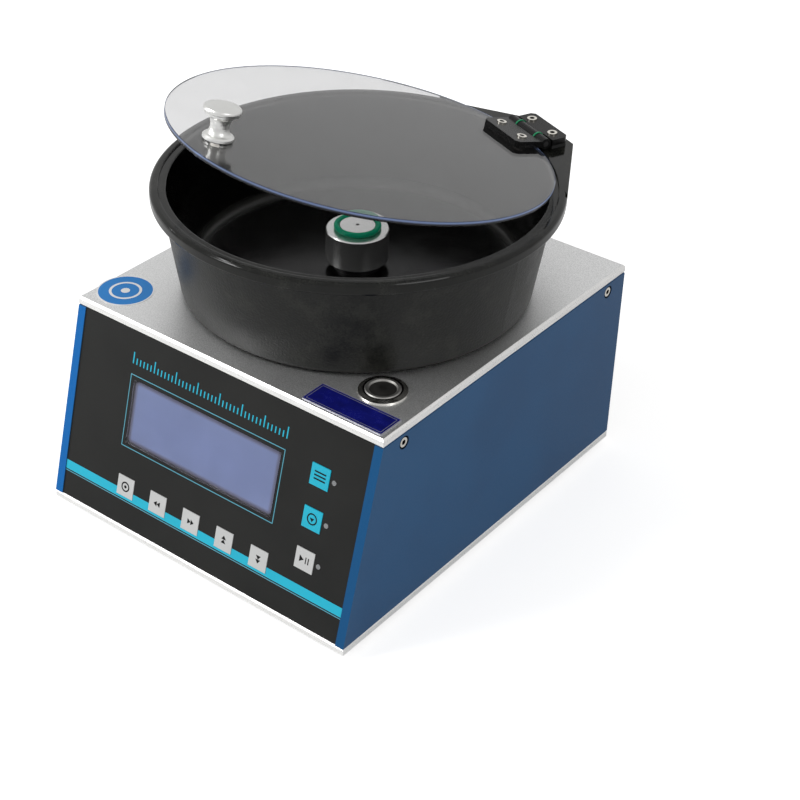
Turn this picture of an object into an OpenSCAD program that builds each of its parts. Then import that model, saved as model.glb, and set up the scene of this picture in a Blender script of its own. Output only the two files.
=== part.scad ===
// Bench-top spin coater: a sloped-front plate enclosure with a bowl on its deck,
// a vacuum chuck on a motor spindle and a clear hinged lid.
// Millimetres, +Z up. The origin lies on the spin axis, at bench level; -Y is the front.

/* [Enclosure] */
// How far the bowl's lip reaches out past each side of the case
lip_over = 5.6; // [0:0.2:8]
// How much deeper the top plate is than it is wide
deck_extra = 10; // [4:1:40]
// How far the bottom plate reaches in front of the top plate
front_reach = 28; // [20:1:50]
// Height from the underside of the bottom plate to the deck
body_h = 113.5; // [110:0.5:150]
// Thickness of the top and bottom plates
plate_t = 5; // [4:0.5:7]
// Chamfer along every edge of the two plates
plate_chamfer = 1; // [0.4:0.1:1.5]
// Thickness of the left and right side plates
side_t = 5; // [4:0.5:7]
// Thickness of the front and rear panels
panel_t = 3; // [2:0.5:4]
// How far the front and rear panels lie behind the edges around them
panel_recess = 0.5; // [0.2:0.1:1.5]
// Side of the square corner posts
post_w = 8; // [7:0.5:10]
// Distance of the post centres from the top plate's front and rear edges
post_inset = 16; // [12:0.5:18]
// Drop of the side screws below the top plate
side_screw_drop = 4.8; // [4.4:0.1:8]
// Diameter of a rubber foot
foot_d = 16; // [12:1:20]
// Height of a rubber foot
foot_h = 3; // [2:0.5:8]
// Distance of the feet from the sides of the bottom plate
foot_inset_x = 11; // [10:1:30]
// Distance of the feet from the front and rear edges of the bottom plate
foot_inset_y = 47; // [20:1:60]

/* [Front panel] */
// Width of the display window
window_w = 99.2; // [80:0.2:104]
// Height of the display window, up the slope
window_h = 35.5; // [28:0.5:37]
// Left edge of the display window from the middle of the panel
window_left = -56; // [-70:1:-52]
// Bottom edge of the display window, up the slope
window_bottom = 46.2; // [44:0.1:48]
// Side of a square key
key_size = 11.3; // [9:0.1:12]
// Travel of a key
key_travel = 0.5; // [0.3:0.1:0.8]
// How far a key's face stands out of the panel
key_proud = 0.3; // [0.2:0.05:0.6]
// Clearance around a key in its hole
key_gap = 0.12; // [0.05:0.01:0.3]
// Left edge of the first key of the bottom row
row_left = -57; // [-60:0.5:-50]
// Pitch of the keys of the bottom row
row_pitch = 23; // [18:0.5:24]
// Bottom edge of the bottom row, up the slope
row_bottom = 16.7; // [14:0.1:18]
// Distance from the right side plate to the left edge of the right-hand keys
column_inset = 32.6; // [29:0.1:35]
// Bottom edges of the right-hand keys, up the slope: mode, pump and run
column_bottoms = [73.9, 51.1, 28.8];
// Diameter of an indicator light
lamp_d = 2.6; // [2:0.2:4]

/* [Bowl] */
// Height of the bowl's rim above the deck
bowl_h = 59.6; // [50:0.2:80]
// Height of the bowl's floor above the deck
floor_rise = 9.6; // [9:0.1:12]
// Width of the shelf under the lid's edge
shelf_w = 2; // [1.5:0.1:4]
// Thickness of the wall under the lip
wall_t = 3; // [2.5:0.1:4]
// How far the outer wall leans out from the deck to the lip
wall_flare = 8.4; // [4:0.2:12]
// How far the inner wall leans out from the floor to the shelf
inner_flare = 10.8; // [6:0.2:14]
// Width of the lip outside the step
lip_w = 4.6; // [4:0.2:8]
// Height of the lip
lip_h = 6.5; // [5:0.5:9]
// Clearance around the lid's edge
lid_gap = 2; // [1:0.1:3]
// Clearance under the closed lid
shelf_gap = 0.3; // [0.2:0.1:1]
// Thickness of the gasket under the bowl
gasket_t = 0.6; // [0.4:0.1:2]
// How far the hinge ear reaches past the hinge's outer screws
ear_margin = 9.2; // [6:0.2:15]

/* [Lid and hinge] */
// Radius of the clear lid
lid_r = 99; // [96:0.5:120]
// Thickness of the clear lid
lid_t = 2.5; // [2:0.1:3]
// Height of the closed lid's top face above the rim
lid_stand = 1.7; // [1.5:0.1:2.2]
// Opening angle of the lid as it stands
lid_open = 11.75; // [0:0.25:20]
// Direction of the hinge from the spin axis, from +X towards +Y
hinge_az = 67; // [45:1:90]
// Width of the hinge along its axis
hinge_w = 33; // [30:1:40]
// Thickness of a hinge leaf
leaf_t = 3.4; // [3:0.1:5]
// Radius of the hinge knuckles
knuckle_r = 3; // [2.8:0.1:4]
// Width of the middle knuckle
knuckle_w = 16; // [12:0.5:18]
// How far a hinge washer stands out of the knuckles
washer_rim = 0.45; // [0.2:0.05:0.8]
// Thickness of a hinge washer
washer_t = 0.8; // [0.5:0.1:1.2]
// Radius of the hinge pin
hinge_pin_r = 1.5; // [1.2:0.1:2]
// Running clearance between the pin and the lid's knuckles
hinge_play = 0.04; // [0.02:0.01:0.08]
// How far the lid's leaf reaches past its screws
lid_leaf_end = 7.1; // [5:0.1:10]
// How far the fixed leaf reaches past its screws
fixed_leaf_end = 5.7; // [4:0.1:8]
// How far the heads of the leaf screws sink into the leaves
leaf_sink = 1.2; // [0.4:0.1:1.4]
// Distance of the leaf screws from the sides of the hinge
leaf_screw_inset = 6.8; // [5:0.1:9]
// Distance of the lid's leaf screws from the hinge axis
lid_screw_reach = 11.6; // [11:0.1:14]
// Distance of the fixed leaf's screws from the hinge axis
fixed_screw_reach = 8.2; // [7.8:0.1:9]
// Distance of the knob from the lid's edge, on the side away from the hinge
knob_inset = 19; // [12:1:40]
// Height of the knob
knob_h = 18; // [15:0.5:25]
// Radius of the knob's head
knob_r = 9.4; // [8:0.2:12]

/* [Chuck and spindle] */
// Radius of the chuck
chuck_r = 16.5; // [16:0.5:20]
// Height of the chuck's shoulder above the deck
chuck_rise = 31.2; // [30:0.2:36]
// Height of the chuck's skirt
chuck_h = 17.2; // [16:0.2:17.6]
// Radius of the raised land that the seal ring surrounds
land_r = 9.4; // [8:0.2:10]
// Height of the land above the shoulder
land_h = 1.9; // [1.5:0.1:2.2]
// Section radius of the seal ring
ring_r = 1.45; // [1.2:0.05:1.6]
// Radius of the spindle shaft
shaft_r = 4; // [3.5:0.1:4.5]
// Radius of the vacuum hole along the shaft
shaft_bore_r = 1.25; // [0.8:0.05:1.6]
// Running clearance of the shaft in its bearings and seals
shaft_play = 0.03; // [0.02:0.01:0.08]
// Radial clearance of the chuck on the shaft
chuck_play = 0.05; // [0.02:0.01:0.08]
// Radius of the motor
motor_r = 30; // [28:1:34]
// Height of the motor's can below the top plate
motor_h = 44; // [42:1:50]
// Outer radius of a shaft bearing
bearing_r = 11; // [10:0.5:12]
// Width of a shaft bearing
bearing_w = 7; // [6:0.5:7]

/* [Power button] */
// Clearance between the button's bezel and the foot of the bowl
button_gap = 0.7; // [0.5:0.1:4]
// Direction of the button from the spin axis, from +X towards the front
button_az = 44.4; // [40:0.2:50]
// Radius of the button's bezel
bezel_r = 12.1; // [11.8:0.1:13.5]
// Radius of the moving cap
cap_r = 9; // [8:0.1:9.6]
// Travel of the cap
cap_travel = 2.5; // [1.5:0.1:3]
// Radius of the threaded barrel and of its hole
barrel_r = 10.8; // [10.5:0.1:11.2]

/* [Vacuum and power] */
// Outer radius of the vacuum tube
tube_r = 3; // [2.7:0.1:3.4]
// Inner radius of the vacuum tube and outer radius of the fittings in it
tube_bore_r = 2; // [1.6:0.1:2.2]
// Height of the solenoid valve's ports above the bottom plate
port_h = 9; // [8.5:0.5:11]
// Length of the rear hose barb outside the panel
barb_l = 16; // [12:1:24]
// Outer radius of the rear hose barb's stem
barb_r = 3; // [2.6:0.1:3.6]
// Distance of the power inlet's middle from the right-hand side plate
inlet_inset = 37; // [34:1:60]
// Height of the power inlet's middle above the bottom plate
inlet_h = 52; // [40:1:56]

/* [Hidden] */
$fn = 96;
eps = 0.01;

// Radii of the bowl, from the lid outwards and inwards
step_r = lid_r + lid_gap;
lip_r = step_r + lip_w;
inner_top_r = lid_r - shelf_w;
wall_top_r = inner_top_r + wall_t;
wall_foot_r = wall_top_r - wall_flare;
inner_foot_r = inner_top_r - inner_flare;
shelf_drop = lid_t - lid_stand + shelf_gap;

// Levels and outlines of the enclosure
body_w = 2 * (lip_r - lip_over);
top_depth = body_w + deck_extra;
bottom_depth = top_depth + front_reach;
post_y = top_depth / 2 - post_inset;
base_z = foot_h;
in_z0 = base_z + plate_t;
deck_z = base_z + body_h;
in_z1 = deck_z - plate_t;
in_h = in_z1 - in_z0;
half_w = body_w / 2;
in_x = half_w - side_t;
rear_y = top_depth / 2;
front_top_y = -top_depth / 2;
front_foot_y = rear_y - bottom_depth;
plate_mid_y = (front_foot_y + rear_y) / 2;
slope = atan((front_top_y - front_foot_y) / in_h);
slope_l = in_h / cos(slope);
fit = 0.1;
thread_play = 0.05;

// Screw sizes: shank radius, head radius, head height
m4 = [2, 3.3, 2.4];
m3 = [1.5, 2.6, 2];
m2 = [1, 1.9, 1.6];
hex_key_share = 0.5;

// Front panel pieces, measured inwards from the panel's outer face
key_flange = 1.1;
key_flange_t = 0.6;
key_back = panel_t + fit + key_flange_t;
switch_h = 3.4;
switch_w = 6;
switch_stem_r = 1.6;
board_t = 1.6;
board_z = key_back + key_travel + fit + switch_h;
row_keys = [for (i = [0:4]) [row_left + i * row_pitch, row_bottom]];
column_left = in_x - column_inset;
column_keys = [for (s = column_bottoms) [column_left, s]];
lamp_dx = key_size + 2.9;
lamp_rise = 5.8;
module_rim = 3;
module_t = 7;
window_t = 2;

// Bowl levels
bowl_z = deck_z + gasket_t;
floor_z = deck_z + floor_rise;
rim_z = deck_z + bowl_h;
shelf_z = rim_z - shelf_drop;
lip_z = rim_z - lip_h;
foot_fillet = 4;
floor_fillet = 3.5;
lip_round = 1.2;
top_round = 2.2;
step_round = 0.8;
bowl_screw_circle = motor_r + 14;
bowl_screw_l = 13;

// Lid and hinge levels
washer_r = knuckle_r + washer_rim;
lid_tuck = 0.3;
hinge_reach = lid_r + washer_r - lid_tuck;
hinge_rise = washer_r + 0.2;
leaf_screw_pitch = hinge_w - 2 * leaf_screw_inset;
lid_leaf_l = lid_screw_reach + lid_leaf_end;
fixed_leaf_l = fixed_screw_reach + fixed_leaf_end;
ear_half_w = hinge_w / 2;
ear_reach = hinge_reach + fixed_screw_reach + ear_margin;
knob_reach = lid_r - knob_inset;
leaf_z = rim_z + lid_stand;
hinge_z = rim_z + hinge_rise;
leaf_drop = hinge_rise - lid_stand;
leaf_gap = 0.5;
leaf_start = washer_r + leaf_gap;
nut_r = 3.15;
nut_t = 2.4;
knob_foot_r = 7.8;
knob_neck_r = 4.7;

// Chuck and spindle levels
shoulder_z = deck_z + chuck_rise;
chuck_z = shoulder_z - chuck_h;
hub_r = shaft_r + 3.6;
hub_z = chuck_z + 1;
skirt_wall = 2.2;
skirt_depth = 9;
shaft_top_z = shoulder_z - 4;
drive_pin_r = 1;
drive_pin_l = 13;
drive_pin_z = hub_z + 2;
vacuum_hole_r = 0.9;
collar_r = shaft_r + 1.6;
bush_bore_r = collar_r + 0.8;
bush_flange_r = chuck_r - skirt_wall - 1.7;
bush_r = bush_flange_r - 2.6;
bush_h = 0.55 * (chuck_z - floor_z);
collar_h = bush_h + 4;
can_wall = 4;
can_top = 5;
register_r = 15.9;
bearing_z1 = deck_z - 2;
can_z0 = in_z1 - motor_h;
cap_t = 9;
cap_z0 = can_z0 - cap_t;
lower_bearing_z0 = can_z0 - 0.5 - bearing_w;
union_h = 20;
union_z0 = cap_z0 - union_h;
union_r = 10;
union_screw_circle = bearing_r + 2.4;
union_flange_r = union_screw_circle + 2.7;
union_flange_t = 3;
shaft_z0 = cap_z0 - 12;
port_z = union_z0 + 5;
motor_screw_circle = motor_r - 7;
rotor_r = motor_r - 12;
air_gap = 0.6;
cap_screw_circle = motor_r - 2.6;
cap_sink = 5;
stator_h = 26;

// Power button levels
bezel_h = 1.5;
barrel_l = 26;
button_r = wall_foot_r + button_gap + bezel_r;
button_x = button_r * cos(button_az);
button_y = -button_r * sin(button_az);
button_nut_r = barrel_r + 3.2;
cap_face_z = deck_z + 1.1;
cap_play = 0.15;
nut_h = 4;

// Vacuum line
valve_l = 24;
valve_w = 22;
valve_h = 8;
coil_w = 20;
coil_h = 26;
barb_hex_r = 7;
barb_hex_t = 2.5;
valve_z = in_z0 + port_h;
valve_top_z = valve_z + valve_h;

module at_hinge() {
    rotate([0, 0, hinge_az - 90]) translate([0, hinge_reach, hinge_z]) children();
}

// Lid pieces are drawn closed, with +Y towards the hinge, and turned to where they stand
module on_lid() {
    at_hinge() rotate([-lid_open, 0, 0]) translate([0, -hinge_reach, -hinge_z]) children();
}

// X to the right, Y up the slope from the bottom plate, Z outwards from the panel's face
module on_front() {
    translate([0, front_foot_y, in_z0]) rotate([90 - slope, 0, 0])
        translate([0, 0, -panel_recess]) children();
}

module x_extrude(x0, x1) {
    translate([x0, 0, 0]) rotate([90, 0, 90]) linear_extrude(x1 - x0) children();
}

module y_extrude(y0, y1) {
    translate([0, y1, 0]) rotate([90, 0, 0]) linear_extrude(y1 - y0) children();
}

module bar(lo, hi) {
    translate(lo) cube(hi - lo);
}

module ring(r_out, r_in, h) {
    difference() {
        cylinder(r = r_out, h = h);
        translate([0, 0, -1]) cylinder(r = r_in, h = h + 2);
    }
}

function arc(cx, cy, r, a0, a1, n = 6) =
    [for (i = [0:n]) [cx + r * cos(a0 + (a1 - a0) * i / n), cy + r * sin(a0 + (a1 - a0) * i / n)]];

function chamfered(lo, hi, c) = [[lo.x + c, lo.y], [hi.x - c, lo.y], [hi.x, lo.y + c], [hi.x, hi.y - c],
    [hi.x - c, hi.y], [lo.x + c, hi.y], [lo.x, hi.y - c], [lo.x, lo.y + c]];

// A plate with all its edges chamfered
module plate(y0, y1, z0) {
    intersection() {
        y_extrude(y0, y1) polygon(chamfered([-half_w, z0], [half_w, z0 + plate_t], plate_chamfer));
        x_extrude(-half_w, half_w) polygon(chamfered([y0, z0], [y1, z0 + plate_t], plate_chamfer));
    }
}

// A socket-head screw: the head's underside at z = 0, the shank below it
module screw(size, l) {
    difference() {
        cylinder(r = size[1], h = size[2], $fn = 48);
        translate([0, 0, size[2] * (1 - hex_key_share)])
            cylinder(r = size[0] * 0.85, h = size[2], $fn = 6);
    }
    translate([0, 0, -l]) cylinder(r = size[0] - thread_play, h = l, $fn = 48);
}

module at_posts(x, y) {
    for (i = [-1, 1], j = [-1, 1]) translate([i * x, j * y, 0]) children();
}

module around(r, n, start = 45) {
    for (i = [0:n - 1]) rotate([0, 0, start + i * 360 / n]) translate([r, 0, 0]) children();
}

/* ---- Enclosure ---- */

post_x = in_x - post_w / 2;
base_screw_grip = 9;
base_screw_l = plate_t + base_screw_grip;
side_screw_z = in_z1 - side_screw_drop;
head_recess = m4[2] + 0.4;
side_recess = m3[2] + 0.3;
side_recess_r = m3[1] + 0.9;
head_gap = 0.6;

module at_feet() {
    translate([0, plate_mid_y, 0])
        at_posts(half_w - foot_inset_x, bottom_depth / 2 - foot_inset_y) children();
}

module bottom_plate() color("gainsboro") difference() {
    plate(front_foot_y, rear_y, base_z);
    at_posts(post_x, post_y) {
        translate([0, 0, base_z - 1]) cylinder(r = m4[1] + head_gap, h = head_recess + 1);
        translate([0, 0, base_z]) cylinder(r = m4[0] + fit, h = plate_t + 1);
    }
}

module top_plate() color("gainsboro") difference() {
    plate(front_top_y, rear_y, in_z1);
    translate([0, 0, in_z1 - 1]) cylinder(r = register_r + fit, h = plate_t + 2);
    translate([button_x, button_y, in_z1 - 1]) cylinder(r = barrel_r + fit, h = plate_t + 2);
    around(motor_screw_circle, 4) {
        translate([0, 0, in_z1 - 1]) cylinder(r = m4[0] + fit, h = plate_t + 2);
        translate([0, 0, deck_z - head_recess]) cylinder(r = m4[1] + head_gap / 2, h = plate_t);
    }
    around(bowl_screw_circle, 4) translate([0, 0, in_z1 - 1]) cylinder(r = m4[0] + fit, h = plate_t + 2);
}

module side_plate(side) difference() {
    x_extrude(side > 0 ? in_x : -half_w, side > 0 ? half_w : -in_x)
        polygon([[front_foot_y, in_z0], [front_top_y, in_z1], [rear_y, in_z1], [rear_y, in_z0]]);
    for (j = [-1, 1]) translate([side * half_w, j * post_y, side_screw_z]) rotate([0, -side * 90, 0]) {
        translate([0, 0, -1]) cylinder(r = side_recess_r, h = side_recess + 1);
        cylinder(r = m3[0] + fit, h = side_t + 1);
    }
}

module left_side_plate() color("royalblue") side_plate(-1);

module right_side_plate() color("royalblue") side_plate(1);

module corner_posts() color("silver") at_posts(post_x, post_y) difference() {
    bar([-post_w / 2, -post_w / 2, in_z0], [post_w / 2, post_w / 2, in_z1]);
    translate([0, 0, in_z0 - 1]) cylinder(r = m4[0], h = base_screw_l - plate_t + 2);
    translate([-post_w, 0, side_screw_z]) rotate([0, 90, 0]) cylinder(r = m3[0], h = 2 * post_w);
}

module side_screws() color("silver")
    for (i = [-1, 1], j = [-1, 1]) translate([i * (half_w - side_recess), j * post_y, side_screw_z])
        rotate([0, i * 90, 0]) screw(m3, side_t - side_recess + post_w - 1);

module base_screws() color("silver") at_posts(post_x, post_y)
    translate([0, 0, base_z + head_recess]) rotate([180, 0, 0]) screw(m4, base_screw_l - head_recess);

// Stuck-on rubber feet; the front pair cover the front base screws
module feet() color("dimgray") at_feet() {
    cylinder(r1 = foot_d / 2 - 1, r2 = foot_d / 2, h = 1);
    translate([0, 0, 1 - eps]) cylinder(r = foot_d / 2, h = foot_h - 1 + eps);
}

/* ---- Front and rear panels ---- */

// The front panel's section, with level edges against the plates above and below
module front_section() polygon([for (p = [[0, 0], [1, 0], [1, 1], [0, 1]])
    let (z = p.y == 0 ? in_z0 : in_z1, depth = panel_recess + p.x * panel_t)
        [front_foot_y + (z - in_z0) * tan(slope) + depth / cos(slope), z]]);

module at_keys(keys) for (k = keys) translate([k.x + key_size / 2, k.y + key_size / 2, 0]) children();

module at_lamps() for (k = column_keys)
    translate([k.x + lamp_dx, k.y + lamp_rise, 0]) children();

module square_prism(w, z0, z1) translate([-w / 2, -w / 2, z0]) cube([w, w, z1 - z0]);

module front_panel() color("#2c2c2a") difference() {
    x_extrude(-in_x, in_x) front_section();
    on_front() {
        bar([window_left, window_bottom, -panel_t - 2],
            [window_left + window_w, window_bottom + window_h, 1]);
        at_keys(concat(row_keys, column_keys)) square_prism(key_size + 2 * key_gap, -panel_t - 2, 1);
        at_lamps() translate([0, 0, -panel_t - 2]) cylinder(d = lamp_d + 2 * fit, h = panel_t + 3);
    }
}

// The clear pane sits flush in the panel, on the rim of the display behind it
module display_window() color("lavender") on_front()
    bar([window_left + fit, window_bottom + fit, -window_t],
        [window_left + window_w - fit, window_bottom + window_h - fit, 0]);

module display_module() color("slateblue") on_front() {
    x0 = window_left - module_rim;
    x1 = window_left + window_w + module_rim;
    s0 = window_bottom - module_rim;
    s1 = window_bottom + window_h + module_rim;
    bar([x0, s0, -panel_t - module_t], [x1, s1, -panel_t]);
    bar([window_left + fit, window_bottom + fit, -panel_t - eps],
        [window_left + window_w - fit, window_bottom + window_h - fit, -window_t]);
    bar([x0 - 1, s0 - 0.6, -panel_t - module_t - board_t], [x1 + 1, s1 + 4, -panel_t - module_t]);
}

function key_mid(k) = [k.x + key_size / 2, k.y + key_size / 2];

board_left = row_left - 4;
board_right = column_left + lamp_dx + 5;
board_arm_x = column_left - 4;
board_low = row_bottom - 2;
board_arm_s = window_bottom - module_rim - 3;
board_high = column_bottoms[0] + key_size + 4;

// An L-shaped board behind the keys, carried on four bosses against the panel
module key_board() color("darkgreen") on_front() {
    translate([0, 0, -board_z - board_t]) linear_extrude(board_t)
        polygon([[board_left, board_low], [board_right, board_low], [board_right, board_high],
            [board_arm_x, board_high], [board_arm_x, board_arm_s], [board_left, board_arm_s]]);
    for (p = [[board_left + 3, board_arm_s - 3], [board_arm_x - 9, board_arm_s - 3],
            [board_right - 3, board_high - 3], [board_right - 3, board_low + 3]])
        translate([p.x, p.y, -board_z]) cylinder(r = 1.8, h = board_z - panel_t);
}

stem_depth = key_travel + 0.9;

module key_switches() color("dimgray") on_front() at_keys(concat(row_keys, column_keys)) difference() {
    square_prism(switch_w, -board_z, -board_z + switch_h);
    translate([0, 0, -board_z + switch_h - stem_depth - 0.4])
        cylinder(r = switch_stem_r + key_gap, h = switch_h);
}

// A key: face, retaining flange behind the panel and stem down into its switch
module key(k) on_front() at_keys([k]) {
    square_prism(key_size, -panel_t - fit, key_proud);
    square_prism(key_size + 2 * key_flange, -key_back, -panel_t - fit);
    translate([0, 0, -key_back - fit - stem_depth])
        cylinder(r = switch_stem_r, h = stem_depth + fit + eps, $fn = 32);
}

module key_mode() color("deepskyblue") key(column_keys[0]);

module key_pump() color("deepskyblue") key(column_keys[1]);

module key_run() color("white") key(column_keys[2]);

module key_set() color("white") key(row_keys[0]);

module key_left() color("white") key(row_keys[1]);

module key_right() color("white") key(row_keys[2]);

module key_up() color("white") key(row_keys[3]);

module key_down() color("white") key(row_keys[4]);

module indicator_lamps() color("lightgray") on_front() at_lamps() {
    translate([0, 0, -board_z]) cylinder(d = lamp_d, h = board_z + 0.2, $fn = 48);
    translate([0, 0, -board_z]) cylinder(d = lamp_d + 1, h = board_z - panel_t - 1.7, $fn = 48);
}

inlet_x = in_x - inlet_inset;
inlet_z = in_z0 + inlet_h;
inlet_cut = [27, 20];
inlet_flange = [50, 23];
inlet_screw_pitch = 40;
inlet_depth = 19;
rear_out_y = rear_y - panel_recess;
rear_in_y = rear_out_y - panel_t;
vent_w = 3;
vent_l = 44;
vent_pitch = 7;
vent_count = 7;

module rear_panel() color("#2c2c2a") difference() {
    bar([-in_x, rear_in_y, in_z0], [in_x, rear_out_y, in_z1]);
    bar([inlet_x - inlet_cut.x / 2, rear_in_y - 1, inlet_z - inlet_cut.y / 2],
        [inlet_x + inlet_cut.x / 2, rear_y + 1, inlet_z + inlet_cut.y / 2]);
    for (i = [-1, 1]) translate([inlet_x + i * inlet_screw_pitch / 2, rear_y + 1, inlet_z])
        rotate([90, 0, 0]) cylinder(r = m3[0], h = panel_t + 3);
    translate([0, rear_y + 1, valve_z]) rotate([90, 0, 0]) cylinder(r = barb_r + 1.5 + fit, h = panel_t + 3);
    for (i = [0:vent_count - 1])
        translate([-half_w / 2 - vent_l / 2 + 4, rear_in_y - 1, in_z0 + 36 + i * vent_pitch])
            cube([vent_l, panel_t + 3, vent_w]);
}

/* ---- Power button ---- */

module at_button() translate([button_x, button_y, 0]) children();

module button_bezel() color("silver") at_button() difference() {
    union() {
        rotate_extrude() polygon([[0, deck_z], [bezel_r, deck_z], [bezel_r, deck_z + 0.7],
            [cap_r + 1, deck_z + bezel_h], [0, deck_z + bezel_h]]);
        translate([0, 0, deck_z - barrel_l]) cylinder(r = barrel_r, h = barrel_l + eps);
    }
    translate([0, 0, cap_face_z - 6 - cap_travel]) cylinder(r = cap_r + cap_play, h = 20);
    translate([0, 0, deck_z - barrel_l + 3]) cylinder(r = 3.2, h = barrel_l);
}

// The cap has a domed middle inside a raised ring, and a stem down to the contacts
module button_cap() color("silver") at_button() {
    rotate_extrude() polygon(concat([[0, cap_face_z - 5], [cap_r, cap_face_z - 5],
        [cap_r, cap_face_z + 0.2], [cap_r - 0.5, cap_face_z + 0.7], [cap_r - 1.7, cap_face_z + 0.7],
        [cap_r - 2.3, cap_face_z]],
        [for (i = [0:6]) [(cap_r - 2.4) * (1 - i / 6), cap_face_z - 0.1 + 0.8 * sin(15 * i)]]));
    translate([0, 0, cap_face_z - 14]) cylinder(r = 3, h = 9.5, $fn = 48);
}

module button_nut() color("silver") at_button() difference() {
    translate([0, 0, in_z1 - nut_h]) rotate([0, 0, 15]) cylinder(r = button_nut_r, h = nut_h, $fn = 6);
    translate([0, 0, in_z1 - nut_h - 1]) cylinder(r = barrel_r + thread_play, h = nut_h + 2);
}

/* ---- Bowl ---- */

wall_lean = (wall_top_r - wall_foot_r) / (lip_z - deck_z);
function wall_r(z) = wall_foot_r + wall_lean * (z - deck_z);
inner_lean = (inner_top_r - inner_foot_r) / (shelf_z - floor_z);
function inner_r(z) = inner_foot_r + inner_lean * (z - floor_z);

bowl_profile = concat(
    [[bush_r, bowl_z]],
    arc(wall_r(bowl_z + foot_fillet) - foot_fillet, bowl_z + foot_fillet, foot_fillet,
        -90, -atan(wall_lean)),
    [[wall_top_r, lip_z]],
    arc(lip_r - lip_round, lip_z + lip_round, lip_round, -90, 0, 3),
    arc(lip_r - top_round, rim_z - top_round, top_round, 0, 90, 6),
    arc(step_r + step_round, rim_z - step_round, step_round, 90, 180, 3),
    [[step_r, shelf_z]],
    arc(inner_top_r + 0.8, shelf_z - 0.8, 0.8, 90, 180, 3),
    arc(inner_r(floor_z + floor_fillet) - floor_fillet, floor_z + floor_fillet, floor_fillet,
        -atan(inner_lean), -90),
    [[bush_r, floor_z]]);

// Plan of the hinge ear: two sides tangent to the lip and a straight outer edge, corners rounded
ear_corner_r = 3;
ear_side_a = atan2(ear_half_w, ear_reach) + acos(lip_r / norm([ear_half_w, ear_reach]));
ear_turn = 90 - ear_side_a;
ear_corner_x = ear_half_w - ear_corner_r * tan((90 - ear_turn) / 2);
ear_plan = concat(
    [[0, step_r]],
    [lip_r * [sin(ear_side_a), cos(ear_side_a)]],
    arc(ear_corner_x, ear_reach - ear_corner_r, ear_corner_r, ear_turn, 90, 4),
    arc(-ear_corner_x, ear_reach - ear_corner_r, ear_corner_r, 90, 180 - ear_turn, 4),
    [lip_r * [-sin(ear_side_a), cos(ear_side_a)]]);

module leaf_screw_places(reach) for (i = [-1, 1])
    translate([i * leaf_screw_pitch / 2, reach, 0]) children();

module bowl() color("#32322f") difference() {
    union() {
        rotate_extrude($fn = 180) polygon(bowl_profile);
        difference() {
            rotate([0, 0, hinge_az - 90]) translate([0, 0, lip_z]) linear_extrude(lip_h) polygon(ear_plan);
            translate([0, 0, lip_z - 1]) cylinder(r = step_r + 1, h = lip_h + 2, $fn = 180);
        }
    }
    around(bowl_screw_circle, 4) translate([0, 0, bowl_z - 1])
        cylinder(r = m4[0], h = bowl_screw_l - plate_t);
    at_hinge() leaf_screw_places(fixed_screw_reach) translate([0, 0, -hinge_rise - lip_h - 1])
        cylinder(r = m3[0], h = lip_h + 2);
}

module bowl_gasket() color("black") translate([0, 0, deck_z]) difference() {
    ring(wall_foot_r - foot_fillet, register_r + 13, gasket_t);
    around(bowl_screw_circle, 4) translate([0, 0, -1]) cylinder(r = m4[0] + fit, h = gasket_t + 2);
}

module bowl_screws() color("silver") around(bowl_screw_circle, 4)
    translate([0, 0, in_z1]) rotate([180, 0, 0]) screw(m4, bowl_screw_l - 2);

// A bush lines the hole in the bowl's floor; its collar stands up inside the chuck's skirt
module spindle_bush() color("black") rotate_extrude() polygon([[bush_bore_r, deck_z + fit],
    [bush_r, deck_z + fit], [bush_r, floor_z], [bush_flange_r, floor_z],
    [bush_flange_r, floor_z + collar_h], [bush_flange_r - 1.8, floor_z + collar_h],
    [bush_flange_r - 2.2, floor_z + bush_h], [bush_bore_r, floor_z + bush_h]]);

/* ---- Hinge ---- */

module barrel(x0, x1, r) translate([x0, 0, 0]) rotate([0, 90, 0]) cylinder(r = r, h = x1 - x0);

outer_start = knuckle_w / 2 + washer_t + fit;
leaf_corner = 2;

// Plan of one leaf, from y0 to y1, with its two far corners cut
function leaf_plan(y0, y1) = let (h = hinge_w / 2, c = leaf_corner * sign(y1))
    [[-h, y0], [h, y0], [h, y1 - c], [h - leaf_corner, y1], [-h + leaf_corner, y1], [-h, y1 - c]];

module leaf(y0, y1, t, z0) translate([0, 0, z0]) linear_extrude(t) polygon(leaf_plan(y0, y1));

module leaf_screw_hole() translate([0, 0, leaf_t - leaf_drop]) {
    translate([0, 0, -leaf_t - 1]) cylinder(r = m3[0] + fit, h = leaf_t + 2);
    translate([0, 0, -leaf_sink]) cylinder(r = m3[1] + fit, h = leaf_sink + 1);
}

module hinge_shim() color("black") at_hinge() difference() {
    leaf(leaf_start, fixed_leaf_l, lid_stand, -hinge_rise);
    leaf_screw_places(fixed_screw_reach) translate([0, 0, -hinge_rise - 1]) cylinder(r = m3[0] + fit, h = 5);
}

module hinge_fixed_leaf() color("#2e2e2c") at_hinge() difference() {
    union() {
        leaf(leaf_start, fixed_leaf_l, leaf_t, -leaf_drop);
        bar([-knuckle_w / 2, 0, -leaf_drop], [knuckle_w / 2, leaf_start + eps, leaf_t - leaf_drop]);
        barrel(-knuckle_w / 2, knuckle_w / 2, knuckle_r);
    }
    barrel(-hinge_w, hinge_w, hinge_pin_r);
    leaf_screw_places(fixed_screw_reach) leaf_screw_hole();
}

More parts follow.
